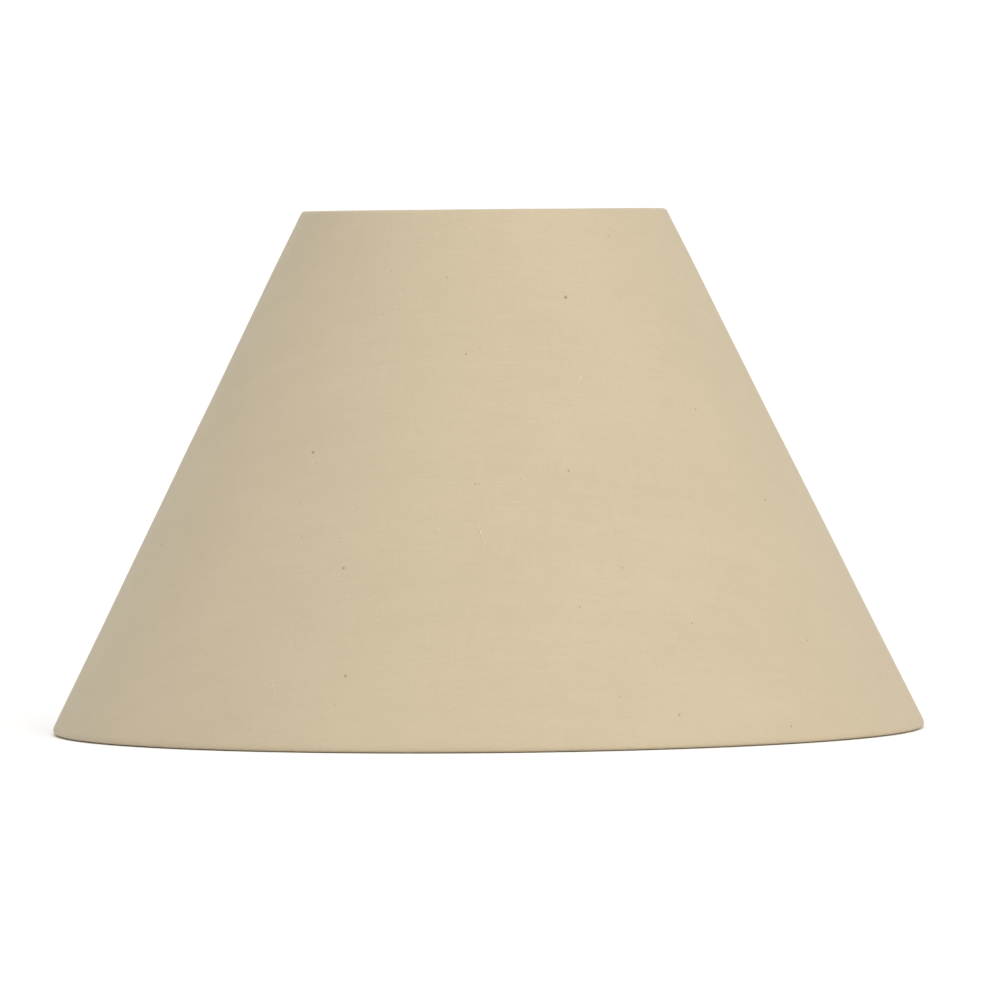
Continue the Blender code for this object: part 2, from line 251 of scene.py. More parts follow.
class ShadeShape:
    """Every size of the cone, worked out from the frame's wire rings and the stock sizes."""

    def __init__(self, sizes):
        self.sizes = sizes
        self.wire_radius = sizes.wire / 2
        self.liner_depth = sizes.fabric / 2 + sizes.gap + sizes.liner / 2
        self.wire_depth = self.liner_depth + sizes.liner / 2 + sizes.gap + self.wire_radius
        self.tuck = self.wire_radius + sizes.gap + sizes.fabric / 2
        self.roll = (self.wire_depth + self.tuck) / 2
        high = self.wire_middle("top_ring")
        low = self.wire_middle("bottom_ring")
        down = (low - high).normalized()
        self.outward = Vector((-down.y, down.x))
        self.top = RimShape(high, -down, self.outward, 0.88, self)
        self.base = RimShape(low, down, self.outward, 0.84, self)
        self.slant = (low - high).length
        edge = self.side(0.0, 0.0)
        # Distance from the cone's point, along its side, to the top of the side.
        self.apex = edge.x / down.x
        self.spread = down.x  # flat angle of the cut panel per angle round the cone

    def wire_middle(self, node):
        low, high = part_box(node)
        return Vector((high.y - self.wire_radius, (low.z + high.z) / 2))

    def side(self, share, depth):
        """A point on the cone's side, from the top rim (0) to the base rim (1)."""
        middle = self.top.centre.lerp(self.base.centre, share)
        return middle + self.outward * (self.roll - depth)


def ease(share):
    share = min(max(share, 0.0), 1.0)
    return share * share * (3 - 2 * share)


class PathPoint:
    """A point of the fabric's middle line, with where it falls on the flat cut."""

    def __init__(self, place, normal, lap, hem):
        self.place = place
        self.normal = normal
        self.lap = lap  # 1 where the upper end lies over the lower one
        self.hem = hem  # 0 on the side, rising to 1 at the tucked edge
        self.flat = 0.0


def hem_points(rim, shape, fold_steps, roll_steps, tuck_steps):
    """Over the rim, round the wire and down between the wire and the liner."""
    stop = math.acos(shape.wire_radius / (shape.tuck + shape.sizes.fabric / 2))
    points = []
    for step in range(1, fold_steps + 1):
        place, normal = rim.fold(shape.roll, step / fold_steps)
        points.append(PathPoint(place, normal, 0.0, FOLD_HEM * step / fold_steps))
    for step in range(1, roll_steps + 1):
        normal = rim.direction(rim.crest + (math.pi - rim.crest) * step / roll_steps)
        hem = FOLD_HEM + ROLL_HEM * step / roll_steps
        points.append(PathPoint(rim.centre + normal * shape.roll, normal, 0.0, hem))
    for step in range(1, tuck_steps + 1):
        normal = rim.direction(math.pi + (math.pi - stop) * step / tuck_steps)
        hem = FOLD_HEM + ROLL_HEM + TUCK_HEM * step / tuck_steps
        points.append(PathPoint(rim.wire + normal * shape.tuck, normal, 0.0, hem))
    return points


def cover_path(shape, rows=44, fold_steps=12, roll_steps=6, tuck_steps=8):
    clear = shape.sizes.hem_clear / shape.slant
    side = []
    for row in range(rows + 1):
        share = row / rows
        lap = ease(share / clear) * ease((1 - share) / clear)
        place = shape.side(share, 0.0)
        side.append(PathPoint(place, shape.outward, lap, 0.0))
    top = hem_points(shape.top, shape, fold_steps, roll_steps, tuck_steps)
    base = hem_points(shape.base, shape, fold_steps, roll_steps, tuck_steps)
    path = top[::-1] + side + base
    run = 0.0
    first_side = len(top)
    for before, here in zip(path, path[1:]):
        run += (here.place - before.place).length
        here.flat = run
    start = path[first_side].flat
    for point in path:
        point.flat += shape.apex - start
    return path


class Line:
    """A line across the strip. Its angle is base + shift / radius, so a lap keeps its width."""

    def __init__(self, base, shift=0.0, lift=0.0, trim=0.0, drop=0.0):
        self.base = base
        self.shift = shift
        self.lift = lift
        self.trim = trim  # taken off the outer face, to round a folded edge
        self.drop = drop  # added under the inner face, for the folded-back layer

    def angle(self, radius):
        return self.base + self.shift / radius


def round_lines(shape, reach, step):
    """Lines from the seam round to where the strip starts to follow the lap."""
    narrowest = shape.top.wire.x - shape.tuck
    last = SEAM + FULL - reach / narrowest
    count = int((last - SEAM - 0.01) / step)
    notch = shape.sizes.notch
    lines = []
    for n in range(1, count + 1):
        angle = SEAM + step * n
        beside = min(abs(angle - math.pi), abs(angle - FULL))
        if beside > 0.5 * step:
            lines.append(Line(angle))
            continue
        centre = math.pi if abs(angle - math.pi) < step else FULL
        for share in (-1.0, -0.5, 0.0, 0.5, 1.0):
            lines.append(Line(centre, notch * share))
    start = SEAM + step * count
    for n in range(1, 9):
        share = n / 8
        lines.append(Line(start + (SEAM + FULL - start) * share, -reach * share))
    return spaced(lines, shape)


def spaced(lines, shape):
    """Drop plain lines that fall inside a notch, at any radius, so that the order holds."""
    inner = shape.top.wire.x - shape.tuck
    kept = []
    for line in lines:
        crowded = False
        if line.shift == 0.0:
            for centre in (math.pi, FULL):
                away = abs(line.base - centre) * inner
                if 1e-9 < away < shape.sizes.notch * 1.08:
                    crowded = True
        if not crowded:
            kept.append(line)
    return kept


def cover_lines(shape, step):
    """The lower end's lines in the lap, then those of the whole strip, up to the folded edge."""
    sizes = shape.sizes
    lower = [Line(SEAM, -sizes.lap * (1 - n / 10)) for n in range(11)]
    clear = sizes.lap + LAP_MARGIN
    reach = clear + LAP_CLIMB
    climb = []
    for n in range(1, 7):
        climb.append(Line(SEAM + FULL, -(clear + LAP_CLIMB * (1 - n / 6)), ease(n / 6)))
    upper = []
    for n in range(1, 11):
        upper.append(Line(SEAM + FULL, -clear * (1 - n / 10) - FOLDED * n / 10, 1.0))
    round_off = sizes.fabric
    for away in FOLDED_LINES:
        drop = FOLDED_DROP * ease((FOLDED - away) / FOLDED_RUN)
        inside = max(0.0, 1 - away / round_off)
        trim = round_off * (1 - math.sqrt(max(0.0, 1 - inside * inside)))
        upper.append(Line(SEAM + FULL, -away, 1.0, trim, drop - trim * 0.8))
    return lower, lower + round_lines(shape, reach, step) + climb + upper


def cut_place(shape, angle, flat):
    """Where a point of the fabric lies on the flat cut panel, in metres."""
    turn = (angle - (FRONT + FULL)) * shape.spread
    return (flat * math.sin(turn), -flat * math.cos(turn))


def panel_wave(shape, cut, share):
    """How far the lined panel strays from a true cone, the same for fabric and liner."""
    calm = ease(share / 0.12) * ease((1 - share) / 0.12)
    slow = noise.noise(Vector((cut[0] * 9, cut[1] * 14, 2.7)))
    quick = noise.noise(Vector((cut[0] * 30, cut[1] * 45, 8.1)))
    return shape.sizes.wave * calm * (0.8 * slow + 0.25 * quick)


def hem_pucker(shape, angle, point):
    """Small gathers where the turned-in cloth has to take up a shorter way round."""
    if point.hem <= 0.0:
        return 0.0
    along = angle * point.place.x
    gather = noise.noise(Vector((along * 170, point.flat * 60, 1.3)))
    fine = noise.noise(Vector((along * 520, point.flat * 160, 5.9)))
    depth = shape.sizes.pucker * ease(point.hem * 1.6)
    return depth * (0.5 + 0.5 * gather + 0.22 * fine)


def band(faces, low, high, count):
    """Join two rings of points, which start at low and at high, with a band of faces."""
    for n in range(count):
        m = (n + 1) % count
        faces.append([low + n, low + m, high + m, high + n])


def polar(radius, height, angle):
    return (radius * math.cos(angle), radius * math.sin(angle), height)


def mesh_object(name, verts, faces, body, finish):
    """An object at the origin from points in metres, riding on a body, with one finish."""
    mesh = bpy.data.meshes.new(name)
    mesh.from_pydata(verts, [], faces)
    work = bmesh.new()
    work.from_mesh(mesh)
    bmesh.ops.recalc_face_normals(work, faces=work.faces)
    work.to_mesh(mesh)
    work.free()
    mesh.shade_smooth()
    mesh.set_sharp_from_angle(angle=SHARP)
    mesh.materials.append(finish)
    piece = bpy.data.objects.new(name, mesh)
    bpy.context.scene.collection.objects.link(piece)
    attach(piece, body)
    return piece


def write_cut_map(mesh, places):
    """A UV map in metres on the flat panel, so that the weave follows the cloth's own grain."""
    layer = mesh.uv_layers.new(name="cut")
    flat = []
    for loop in mesh.loops:
        flat.extend(places[loop.vertex_index])
    layer.data.foreach_set("uv", flat)


def write_value(mesh, name, values):
    attribute = mesh.attributes.new(name, "FLOAT", "POINT")
    attribute.data.foreach_set("value", values)


def strip(name, path, lines, thickness, shape, finish, leave_out=None, lift=0.0):
    """A sheet of cloth or plastic over lines by path points, with its cut map and rubbed edges."""
    count = len(path)
    verts, places, rubbed = [], [], []
    for line in lines:
        for face in (1, -1):
            for point in path:
                angle = line.angle(point.place.x)
                cut = cut_place(shape, angle, point.flat)
                share = (point.flat - shape.apex) / shape.slant
                out = panel_wave(shape, cut, share)
                out += hem_pucker(shape, angle, point)
                out += lift * line.lift * point.lap
                half = thickness / 2
                edge = line.trim if face > 0 else -line.drop * point.lap
                out += half - edge if face > 0 else -half + edge
                at = point.place + point.normal * out
                verts.append(polar(at.x, at.y, angle))
                places.append(cut)
                rubbed.append(max(point.hem, 1.0 if line.trim > 0 else 0.0))

    def index(k, i, face):
        return (2 * k + face) * count + i

    def kept(k, i):
        inside = 0 <= k < len(lines) - 1 and 0 <= i < count - 1
        return inside and not (leave_out and leave_out(k, i))

    faces = []
    for k in range(len(lines) - 1):
        for i in range(count - 1):
            if not kept(k, i):
                continue
            loop = [(k, i), (k, i + 1), (k + 1, i + 1), (k + 1, i)]
            faces.append([index(a, b, 0) for a, b in loop])
            faces.append([index(a, b, 1) for a, b in reversed(loop)])
            beside = [(k - 1, i), (k, i + 1), (k + 1, i), (k, i - 1)]
            for side, neighbour in enumerate(beside):
                if not kept(*neighbour):
                    a, b = loop[side], loop[(side + 1) % 4]
                    faces.append([index(*b, 0), index(*a, 0), index(*a, 1), index(*b, 1)])
    used = sorted({v for face in faces for v in face})
    renumber = {old: new for new, old in enumerate(used)}
    faces = [[renumber[v] for v in face] for face in faces]
    piece = mesh_object(name, [verts[v] for v in used], faces, "shade", finish)
    write_cut_map(piece.data, [places[v] for v in used])
    write_value(piece.data, "rubbed", [rubbed[v] for v in used])
    return piece


def turned(name, outline, count, body, finish):
    """Turn a closed (radius, height) outline about the Z axis."""
    n = len(outline)
    verts = [polar(r, z, FULL * k / count) for k in range(count) for r, z in outline]
    faces = []
    for k in range(count):
        band(faces, k * n, (k + 1) % count * n, n)
    return mesh_object(name, verts, faces, body, finish)


def softened(outline, radius, steps=4):
    """Round every corner of a closed outline."""
    made = []
    n = len(outline)
    for i in range(n):
        before = Vector(outline[i - 1])
        here = Vector(outline[i])
        after = Vector(outline[(i + 1) % n])
        room = min((before - here).length, (after - here).length) * 0.45
        trim = min(radius, room)
        start = here + (before - here).normalized() * trim
        stop = here + (after - here).normalized() * trim
        for step in range(steps + 1):
            t = step / steps
            made.append(tuple(start.lerp(here, t).lerp(here.lerp(stop, t), t)))
    return made


def swept(sections, sides, mirror):
    """Points and faces of a round bar through (point, direction, radius, squash) in the XZ plane."""
    verts, faces = [], []
    for point, direction, radius, squash in sections:
        across = Vector((-direction.y, direction.x))
        for n in range(sides):
            turn = FULL * n / sides
            lift = across * (radius * squash * math.sin(turn))
            wide = radius / math.sqrt(squash)
            verts.append((mirror * (point.x + lift.x), wide * math.cos(turn), point.y + lift.y))
    for k in range(len(sections) - 1):
        band(faces, k * sides, (k + 1) * sides, sides)
    faces.append(list(range(sides)))
    faces.append(list(range(len(verts) - sides, len(verts))))
    return verts, faces


def bent_line(corners, bend_radius, steps):
    """(point, direction) along a line in the XZ plane with its corners rounded."""
    line = [(corners[0], (corners[1] - corners[0]).normalized())]
    for before, corner, after in zip(corners, corners[1:], corners[2:]):
        arriving = (corner - before).normalized()
        leaving = (after - corner).normalized()
        turn = arriving.angle_signed(leaving)
        side = math.copysign(1, turn)
        start = corner - arriving * (bend_radius * math.tan(abs(turn) / 2))
        centre = start + Vector((arriving.y, -arriving.x)) * side * bend_radius
        for step in range(steps + 1):
            angle = turn * step / steps
            cos, sin = math.cos(angle), math.sin(angle)
            direction = Vector(
                (arriving.x * cos + arriving.y * sin, arriving.y * cos - arriving.x * sin)
            )
            spoke = Vector((-direction.y, direction.x)) * side
            line.append((centre + spoke * bend_radius, direction))
    line.append((corners[-1], (corners[-1] - corners[-2]).normalized()))
    return line


def bead(verts, faces, centre, size, seed, segments=14, rings=8):
    """Add a lumpy weld bead to a list of points and faces."""
    base = len(verts)
    for ring in range(rings + 1):
        polar_angle = math.pi * ring / rings
        for n in range(segments):
            turn = FULL * n / segments
            way = Vector(
                (
                    math.sin(polar_angle) * math.cos(turn),
                    math.sin(polar_angle) * math.sin(turn),
                    math.cos(polar_angle),
                )
            )
            lump = 1 + 0.14 * noise.noise(way * 2.3 + Vector((seed, seed * 1.7, 0)))
            verts.append(tuple(c + w * s * lump for c, w, s in zip(centre, way, size)))
    for ring in range(rings):
        band(faces, base + ring * segments, base + (ring + 1) * segments, segments)


# ---------------------------------------------------------------- finishes


class Finish:
    """A material under construction, with short ways to add and join its nodes."""

    def __init__(self, name, **constants):
        self.material = bpy.data.materials.new(name)
        self.material.use_nodes = True
        self.tree = self.material.node_tree
        self.shader = self.tree.nodes["Principled BSDF"]
        for socket, value in constants.items():
            self.shader.inputs[socket.replace("_", " ")].default_value = value

    def add(self, kind, **settings):
        node = self.tree.nodes.new(kind)
        for key, value in settings.items():
            setattr(node, key, value)
        return node

    def feed(self, socket, value):
        if isinstance(value, bpy.types.NodeSocket):
            self.tree.links.new(value, socket)
        else:
            socket.default_value = value

    def maths(self, operation, first, second=0.0, third=None, clamp=False):
        node = self.add("ShaderNodeMath", operation=operation, use_clamp=clamp)
        self.feed(node.inputs[0], first)
        self.feed(node.inputs[1], second)
        if third is not None:
            self.feed(node.inputs[2], third)
        return node.outputs[0]

    def place(self):
        return self.add("ShaderNodeTexCoord").outputs["Object"]

    def cut(self):
        return self.add("ShaderNodeUVMap", uv_map="cut").outputs[0]

    def value(self, name):
        return self.add("ShaderNodeAttribute", attribute_name=name).outputs["Fac"]

    def stretched(self, vector, by):
        node = self.add("ShaderNodeVectorMath", operation="MULTIPLY")
        self.feed(node.inputs[0], vector)
        node.inputs[1].default_value = by
        return node.outputs[0]

    def parts(self, vector):
        node = self.add("ShaderNodeSeparateXYZ")
        self.feed(node.inputs[0], vector)
        return node.outputs

    def noise(self, vector, scale=1.0, detail=2.0, roughness=0.5, colour=False):
        node = self.add("ShaderNodeTexNoise")
        self.feed(node.inputs["Vector"], vector)
        node.inputs["Scale"].default_value = scale
        node.inputs["Detail"].default_value = detail
        node.inputs["Roughness"].default_value = roughness
        return node.outputs["Color" if colour else "Fac"]

    def cells(self, vector, scale):
        node = self.add("ShaderNodeTexVoronoi", voronoi_dimensions="2D")
        self.feed(node.inputs["Vector"], vector)
        node.inputs["Scale"].default_value = scale
        return node.outputs

    def span(self, value, low, high, to_low=0.0, to_high=1.0):
        """Map low..high to to_low..to_high, smoothly and clamped."""
        node = self.add("ShaderNodeMapRange", interpolation_type="SMOOTHSTEP")
        self.feed(node.inputs["Value"], value)
        for socket, number in zip(
            ("From Min", "From Max", "To Min", "To Max"), (low, high, to_low, to_high)
        ):
            node.inputs[socket].default_value = number
        return node.outputs[0]

    def blend(self, share, first, second):
        node = self.add("ShaderNodeMix", data_type="RGBA")
        self.feed(node.inputs["Factor"], share)
        for socket, value in (("A", first), ("B", second)):
            target = [s for s in node.inputs if s.name == socket and s.type == "RGBA"][0]
            if isinstance(value, bpy.types.NodeSocket):
                self.tree.links.new(value, target)
            else:
                target.default_value = (*value, 1.0)
        return [s for s in node.outputs if s.type == "RGBA"][0]

    def bump(self, height, distance, strength=1.0):
        node = self.add("ShaderNodeBump")
        self.feed(node.inputs["Height"], height)
        node.inputs["Distance"].default_value = distance
        node.inputs["Strength"].default_value = strength
        return node.outputs[0]

    def mottled(self, share, colour, dark):
        """A colour and a darker one of its kind, in soft patches."""
        return self.blend(self.span(share, 0.3, 0.7), shade_of(colour, dark), colour)

    def wear(self, colour=None, roughness=None, normal=None, metallic=None):
        """Join what was made to the shader."""
        for socket, value in (
            ("Base Color", colour),
            ("Roughness", roughness),
            ("Normal", normal),
            ("Metallic", metallic),
        ):
            if value is not None:
                self.feed(self.shader.inputs[socket], value)
        return self.material


def shade_of(colour, by):
    return tuple(min(1.0, c * by) for c in colour)


def cotton_finish(colours, pitch):
    """Plain-woven cotton: round threads over and under, slubs along the weft, husk flecks."""
    f = Finish(
        "oatmeal_cotton",
        Sheen_Weight=0.08,
        Sheen_Roughness=0.4,
        Specular_IOR_Level=0.3,
        IOR=1.5,
    )
    cut = f.cut()
    # Threads wander a little, so the grid is never ruler straight.
    wander = f.parts(f.noise(cut, 85.0, 2.0, colour=True))
    u, v, _ = f.parts(cut)
    u = f.maths("MULTIPLY_ADD", wander[0], pitch * 1.4, u)
    v = f.maths("MULTIPLY_ADD", wander[1], pitch * 1.4, v)
    a = f.maths("SINE", f.maths("MULTIPLY", u, math.pi / pitch))
    b = f.maths("SINE", f.maths("MULTIPLY", v, math.pi / pitch))
    both = f.maths("MULTIPLY", a, b)
    warp = f.maths("MULTIPLY_ADD", both, 0.4, f.maths("MULTIPLY", f.maths("ABSOLUTE", a), 0.6))
    weft = f.maths("MULTIPLY_ADD", both, -0.4, f.maths("MULTIPLY", f.maths("ABSOLUTE", b), 0.6))
    weave = f.maths("MAXIMUM", warp, weft)
    # Slubs: thick places in single weft threads, a centimetre or so long.
    slub = f.noise(f.stretched(cut, (70.0, 1500.0, 1.0)), 1.0, 1.5, 0.55)
    slub_high = f.span(slub, 0.6, 0.78)
    fine_slub = f.noise(f.stretched(cut, (240.0, 2600.0, 1.0)), 1.0, 1.0)
    warp_slub = f.noise(f.stretched(cut, (1900.0, 60.0, 1.0)), 1.0, 1.5, 0.55)
    # Bands of slightly different yarn, and slow dyeing variation.
    band = f.noise(f.stretched(cut, (7.0, 150.0, 1.0)), 1.0, 2.0)
    cloud = f.noise(cut, 26.0, 3.0, 0.6)
    tone = 0.5
    for part, middle, share in (
        (band, 0.5, 0.28),
        (cloud, 0.5, 0.46),
        (slub, 0.5, 0.56),
        (fine_slub, 0.5, 0.34),
        (warp_slub, 0.5, 0.3),
        (weave, 0.62, 0.3),
    ):
        tone = f.maths("MULTIPLY_ADD", f.maths("SUBTRACT", part, middle), share, tone)
    tone = f.maths("ADD", tone, 0.0, clamp=True)
    colour = f.blend(tone, colours.cotton_deep, colours.cotton_pale)
    # Bits of husk and pale knots of lint: a few cells hold one small speck each.
    bent = f.add("ShaderNodeVectorMath", operation="ADD")
    f.feed(bent.inputs[0], cut)
    jitter = f.noise(cut, 900.0, 1.0, colour=True)
    f.feed(bent.inputs[1], f.stretched(jitter, (0.0006, 0.0006, 0)))
    pale = shade_of(colours.cotton_pale, 1.3)
    for scale, rare, size, strength, speck_colour in (
        (23.0, 0.52, 0.019, 0.62, colours.fleck),
        (62.0, 0.72, 0.031, 0.32, colours.fleck),
        (88.0, 0.55, 0.055, 0.20, pale),
    ):
        cell = f.cells(bent.outputs[0], scale)
        luck = f.parts(cell["Color"])
        chosen = f.maths("GREATER_THAN", luck[0], rare)
        reach = f.maths("MULTIPLY_ADD", luck[1], size * 0.7, size * 0.3)
        speck = f.span(f.maths("DIVIDE", cell["Distance"], reach), 0.35, 1.0, strength, 0.0)
        colour = f.blend(f.maths("MULTIPLY", chosen, speck), colour, speck_colour)
    # Rims and the folded edge are rubbed: a touch greyer and more matt.
    rub = f.maths("MULTIPLY", f.value("rubbed"), f.span(cloud, 0.35, 0.7, 0.1, 0.5))
    colour = f.blend(f.maths("MULTIPLY", rub, 0.5), colour, shade_of(colours.cotton_deep, 0.88))
    rough = f.span(weave, 0.0, 1.0, 0.80, 0.66)
    rough = f.maths("MULTIPLY_ADD", rub, 0.12, rough)
    height = f.maths("MULTIPLY_ADD", slub_high, 0.9, weave)
    normal = f.bump(height, 0.00007, 0.85)
    return f.wear(colour, rough, normal)


def lining_finish(colours):
    """White plastic sheet: faint drawn lines, smudges, and a slightly warmer tint towards the top.
    """
    f = Finish("white_lining", Specular_IOR_Level=0.5, IOR=1.49, Sheen_Weight=0.05)
    cut, place = f.cut(), f.place()
    drawn = f.noise(f.stretched(cut, (900.0, 14.0, 1.0)), 1.0, 2.0)
    cloud = f.noise(place, 18.0, 3.0)
    smudge = f.span(f.noise(place, 42.0, 4.0, 0.6), 0.56, 0.74)
    height = f.parts(place)[2]
    # A warmer tint over the top part of the lining, set by height alone.
    low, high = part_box("liner")
    warm = f.span(height, low.z + 0.6 * (high.z - low.z), high.z, 0.0, 0.55)
    colour = f.mottled(cloud, colours.lining, 0.95)
    colour = f.blend(f.maths("MULTIPLY", warm, 0.5), colour, (0.86, 0.82, 0.72))
    colour = f.blend(f.maths("MULTIPLY", smudge, 0.13), colour, (0.66, 0.64, 0.60))
    rough = f.maths("MULTIPLY_ADD", drawn, 0.12, f.span(smudge, 0.0, 1.0, 0.40, 0.52))
    grain = f.noise(cut, 2600.0, 1.0)
    height = f.maths("MULTIPLY_ADD", drawn, 0.6, grain)
    return f.wear(colour, rough, f.bump(height, 0.00003, 0.5))


def coating_finish(colours):
    """White powder coat over steel: orange-peel texture, dull dust, bare steel at rubbed spots."""
    f = Finish("white_powder_coat", Coat_Weight=0.12, Coat_Roughness=0.35, IOR=1.5)
    place = f.place()
    peel = f.noise(place, 1500.0, 2.0, 0.55)
    cloud = f.noise(place, 160.0, 3.0)
    dust = f.span(f.noise(place, 420.0, 4.0, 0.65), 0.5, 0.72)
    chip = f.span(f.noise(place, 900.0, 3.0, 0.6), 0.60, 0.64)
    bare = f.maths("MULTIPLY", chip, f.value("rubbed"))
    colour = f.mottled(cloud, colours.coating, 0.93)
    colour = f.blend(f.maths("MULTIPLY", dust, 0.25), colour, (0.60, 0.58, 0.53))
    colour = f.blend(bare, colour, shade_of(colours.steel, 0.75))
    rough = f.span(dust, 0.0, 1.0, 0.36, 0.52)
    height = f.maths("MULTIPLY_ADD", bare, -1.6, peel)
    return f.wear(colour, rough, f.bump(height, 0.00005, 0.6), f.maths("MULTIPLY", bare, 0.9))


def steel_finish(colours):
    """Bright drawn wire, dulled unevenly, with fine marks along it."""
    f = Finish("drawn_steel_wire", Metallic=1.0)
    place = f.place()
    marks = f.noise(f.stretched(place, (300.0, 300.0, 5200.0)), 1.0, 2.0)
    dull = f.noise(place, 130.0, 4.0, 0.6)
    spot = f.span(f.noise(place, 700.0, 3.0, 0.6), 0.63, 0.70)
    colour = f.mottled(dull, colours.steel, 0.8)
    colour = f.blend(f.maths("MULTIPLY", spot, 0.5), colour, (0.26, 0.17, 0.10))
    rough = f.maths("MULTIPLY_ADD", marks, 0.18, f.span(dull, 0.3, 0.7, 0.34, 0.22))
    return f.wear(colour, rough, f.bump(marks, 0.00003, 0.5))


def plastic_finish(colours):
    """Moulded white plastic: satin, with faint flow lines, fine scuffs and a little dust."""
    f = Finish("moulded_white_plastic", Specular_IOR_Level=0.5, IOR=1.49, Coat_Weight=0.08)
    place = f.place()
    flow = f.noise(f.stretched(place, (60.0, 500.0, 60.0)), 1.0, 2.0)
    grain = f.noise(place, 3200.0, 1.0)
    scuff = f.span(f.noise(f.stretched(place, (2600.0, 160.0, 160.0)), 1.0, 2.0), 0.66, 0.74)
    dust = f.span(f.noise(place, 380.0, 4.0, 0.6), 0.5, 0.75)
    colour = f.mottled(flow, colours.plastic, 0.96)
    colour = f.blend(f.maths("MULTIPLY", dust, 0.2), colour, (0.66, 0.63, 0.57))
    rough = f.maths("MULTIPLY_ADD", scuff, 0.22, f.span(dust, 0.0, 1.0, 0.30, 0.42))
    height = f.maths("MULTIPLY_ADD", scuff, -0.8, grain)
    return f.wear(colour, rough, f.bump(height, 0.00003, 0.5))


def tape_finish(colours):
    """Tissue tape: short crossed fibres in a dull film."""
    f = Finish("tissue_tape", Specular_IOR_Level=0.4)
    place = f.place()
    one = f.noise(f.stretched(place, (500.0, 500.0, 2600.0)), 1.0, 2.0)
    two = f.noise(f.stretched(place, (2600.0, 2600.0, 420.0)), 1.0, 2.0)
    fibres = f.maths("MAXIMUM", one, two)
    colour = f.blend(f.span(fibres, 0.4, 0.75), shade_of(colours.tape, 0.86), colours.tape)
    rough = f.span(fibres, 0.4, 0.75, 0.42, 0.66)
    return f.wear(colour, rough, f.bump(fibres, 0.00004, 0.6))


def floor_finish(colours):
    """Pale seamless paper, hardly marked."""
    f = Finish("seamless_paper", Specular_IOR_Level=0.15)
    place = f.place()
    cloud = f.noise(place, 1.3, 3.0)
    grain = f.noise(place, 900.0, 2.0)
    colour = f.mottled(cloud, colours.ground, 0.99)
    return f.wear(colour, f.span(cloud, 0.3, 0.7, 0.85, 0.92), f.bump(grain, 0.0001, 0.15))


def finish_named(name, make, *facts):
    """Make a finish once and use it again after that."""
    return bpy.data.materials.get(name) or make(*facts)


def powder_coat(scene):
    """The white finish that the lugs, the arms and the holder ring share."""
    return finish_named("white_powder_coat", coating_finish, scene.shade_colours)


def repaint(node, finish):
    """Give a CAD node that keeps its shape a detailed finish."""
    piece = frame["nodes"][node]
    piece.data.materials.clear()
    piece.data.materials.append(finish)


# ---------------------------------------------------------------- operators


class SHADE_OT_cover(bpy.types.Operator):
    """Lay the cotton cover on the cone, rolled round both rings and lapped at the back"""

    bl_idname = "shade.cover"
    bl_label = "Cotton cover"

    def execute(self, context):
        scene = context.scene
        shape = ShadeShape(scene.shade_sizes)
        finish = finish_named(
            "oatmeal_cotton", cotton_finish, scene.shade_colours, scene.shade_sizes.thread
        )
        path = cover_path(shape)
        lower, lines = cover_lines(shape, SEAM_STEP)
        lap_cells = len(lower) - 1
        side = [i for i, point in enumerate(path) if point.lap > 0.999]
        first_side, last_side = side[0], side[-1]
        top_tuck = sum(1 for point in path[: len(path) // 2] if point.hem > NOTCH_HEM)
        notch = shape.sizes.notch

        def leave_out(k, i):
            if k < lap_cells:
                return i < first_side or i >= last_side
            middle = (lines[k].shift + lines[k + 1].shift) / 2
            at_notch = lines[k].base == lines[k + 1].base and abs(middle) < notch
            plain = lines[k].base < SEAM + FULL - 0.5
            return plain and at_notch and i < top_tuck

        cover = strip(
            "cotton_cover",
            path,
            lines,
            shape.sizes.fabric,
            shape,
            finish,
            leave_out,
            shape.sizes.lap_lift,
        )
        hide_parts("cover_fabric")
        return {"FINISHED"}


def lay_fibre(shape, verts, faces, share, angle, heading, bend, length, radius):
    """One curved fibre, thick in the middle and thin at its ends, lying on the cover."""
    first = len(verts)
    run = Vector((0.0, 0.0))
    for step in range(FIBRE_STEPS + 1):
        t = step / FIBRE_STEPS
        way = heading + bend * (t - 0.5)
        run += Vector((math.cos(way), math.sin(way))) * (length / FIBRE_STEPS)
        radius_here = radius * (0.12 + 0.88 * math.sin(math.pi * t))
        flat = shape.apex + share * shape.slant + run.y
        wave = panel_wave(shape, cut_place(shape, angle % FULL, flat), share)
        rise = wave + shape.sizes.fabric / 2 + radius * (0.3 + 0.7 * math.sin(math.pi * t))
        for n in range(FIBRE_SIDES):
            turn = FULL * n / FIBRE_SIDES
            off = Vector((-math.sin(way), math.cos(way))) * (radius_here * math.cos(turn))
            place = shape.side(share + (run.y + off.y) / shape.slant, 0.0)
            place += shape.outward * (rise + radius_here * math.sin(turn))
            verts.append(polar(place.x, place.y, angle + (run.x + off.x) / place.x))
    for step in range(FIBRE_STEPS):
        here = first + step * FIBRE_SIDES
        band(faces, here, here + FIBRE_SIDES, FIBRE_SIDES)
    last = first + FIBRE_STEPS * FIBRE_SIDES
    faces.append([first + n for n in reversed(range(FIBRE_SIDES))])
    faces.append([last + n for n in range(FIBRE_SIDES)])


